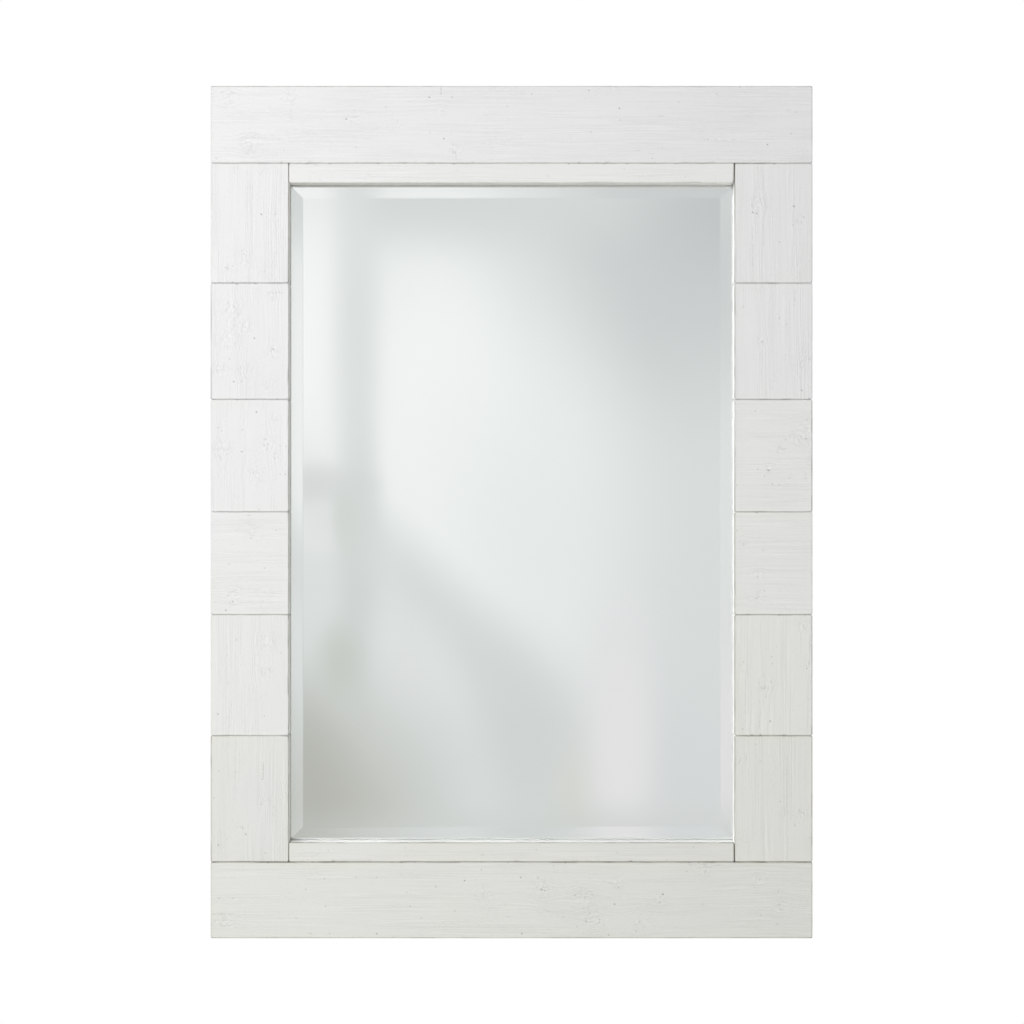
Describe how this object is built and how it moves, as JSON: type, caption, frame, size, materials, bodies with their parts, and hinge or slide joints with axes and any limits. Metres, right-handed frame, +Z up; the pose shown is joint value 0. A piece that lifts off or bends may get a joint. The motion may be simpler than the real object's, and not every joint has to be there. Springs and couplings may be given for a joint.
{
  "type": "wall mirror",
  "caption": "Rectangular bevelled wall mirror in a flat frame of whitewashed timber blocks and planks, with swinging ring hangers and turn buttons at the back.",
  "frame": {"origin": "midway between the two wall hooks that carry the rings, on the wall's surface", "axes": "+Z up, +Y from the frame towards the wall, so the glass faces -Y, and +X to the right as seen from the front"},
  "size_m": [0.61, 0.0374, 0.864],
  "materials": {
    "white_paint": "worn whitewash over coarse softwood",
    "plywood": "raw birch plywood",
    "clear_glass": "polished float glass",
    "silvering": "silvered",
    "cushion_rubber": "matt",
    "card": "plain kraft",
    "hardboard": "smooth pressed hardboard",
    "button_steel": "zinc plated",
    "ring_steel": "nickel plated wire",
    "hardware_steel": "zinc plated",
    "screw_steel": "yellow zinc plated",
    "bumper_rubber": "matt"
  },
  "bodies": {
    "frame": {"top_plank": "white_paint", "bottom_plank": "white_paint", "top_strip": "white_paint", "bottom_strip": "white_paint", "left_block_1": "white_paint", "left_block_2": "white_paint", "left_block_3": "white_paint", "left_block_4": "white_paint", "left_block_5": "white_paint", "left_block_6": "white_paint", "right_block_1": "white_paint", "right_block_2": "white_paint", "right_block_3": "white_paint", "right_block_4": "white_paint", "right_block_5": "white_paint", "right_block_6": "white_paint", "subframe_top_rail": "plywood", "subframe_bottom_rail": "plywood", "subframe_left_stile": "plywood", "subframe_right_stile": "plywood", "mirror_glass": "clear_glass", "silver_film": "silvering", "setting_cushions": "cushion_rubber", "card_liner": "card", "back_board": "hardboard", "left_hanger_strap": "hardware_steel", "right_hanger_strap": "hardware_steel", "board_screws": "screw_steel", "strip_screws": "screw_steel", "button_screws": "hardware_steel", "strap_screws": "hardware_steel", "wall_bumpers": "bumper_rubber"},
    "turn_button_1": {"turn_button_1": "button_steel"},
    "turn_button_2": {"turn_button_2": "button_steel"},
    "turn_button_3": {"turn_button_3": "button_steel"},
    "turn_button_4": {"turn_button_4": "button_steel"},
    "turn_button_5": {"turn_button_5": "button_steel"},
    "turn_button_6": {"turn_button_6": "button_steel"},
    "turn_button_7": {"turn_button_7": "button_steel"},
    "turn_button_8": {"turn_button_8": "button_steel"},
    "turn_button_9": {"turn_button_9": "button_steel"},
    "turn_button_10": {"turn_button_10": "button_steel"},
    "left_hanger_ring": {"left_hanger_ring": "ring_steel"},
    "right_hanger_ring": {"right_hanger_ring": "ring_steel"}
  },
  "joints": [
    {"name": "turn_button_1_turn", "type": "hinge", "parent": "frame", "child": "turn_button_1", "pos_m": [-0.243, -0.0064, 0.05088], "axis": [0, 1, 0], "continuous": true},
    {"name": "turn_button_2_turn", "type": "hinge", "parent": "frame", "child": "turn_button_2", "pos_m": [-0.243, -0.0064, -0.2025], "axis": [0, 1, 0], "continuous": true},
    {"name": "turn_button_3_turn", "type": "hinge", "parent": "frame", "child": "turn_button_3", "pos_m": [-0.243, -0.0064, -0.45588], "axis": [0, 1, 0], "continuous": true},
    {"name": "turn_button_4_turn", "type": "hinge", "parent": "frame", "child": "turn_button_4", "pos_m": [0.243, -0.0064, 0.05088], "axis": [0, 1, 0], "continuous": true},
    {"name": "turn_button_5_turn", "type": "hinge", "parent": "frame", "child": "turn_button_5", "pos_m": [0.243, -0.0064, -0.2025], "axis": [0, 1, 0], "continuous": true},
    {"name": "turn_button_6_turn", "type": "hinge", "parent": "frame", "child": "turn_button_6", "pos_m": [0.243, -0.0064, -0.45588], "axis": [0, 1, 0], "continuous": true},
    {"name": "turn_button_7_turn", "type": "hinge", "parent": "frame", "child": "turn_button_7", "pos_m": [-0.117, -0.0064, 0.1489], "axis": [0, 1, 0], "continuous": true},
    {"name": "turn_button_8_turn", "type": "hinge", "parent": "frame", "child": "turn_button_8", "pos_m": [0.117, -0.0064, 0.1489], "axis": [0, 1, 0], "continuous": true},
    {"name": "turn_button_9_turn", "type": "hinge", "parent": "frame", "child": "turn_button_9", "pos_m": [-0.117, -0.0064, -0.5539], "axis": [0, 1, 0], "continuous": true},
    {"name": "turn_button_10_turn", "type": "hinge", "parent": "frame", "child": "turn_button_10", "pos_m": [0.117, -0.0064, -0.5539], "axis": [0, 1, 0], "continuous": true},
    {"name": "left_hanger_ring_swing", "type": "hinge", "parent": "frame", "child": "left_hanger_ring", "pos_m": [-0.2765, -0.00415, -0.01547], "axis": [-1, 0, 0], "range_deg": [0, 180]},
    {"name": "right_hanger_ring_swing", "type": "hinge", "parent": "frame", "child": "right_hanger_ring", "pos_m": [0.2765, -0.00415, -0.01547], "axis": [-1, 0, 0], "range_deg": [0, 180]}
  ]
}
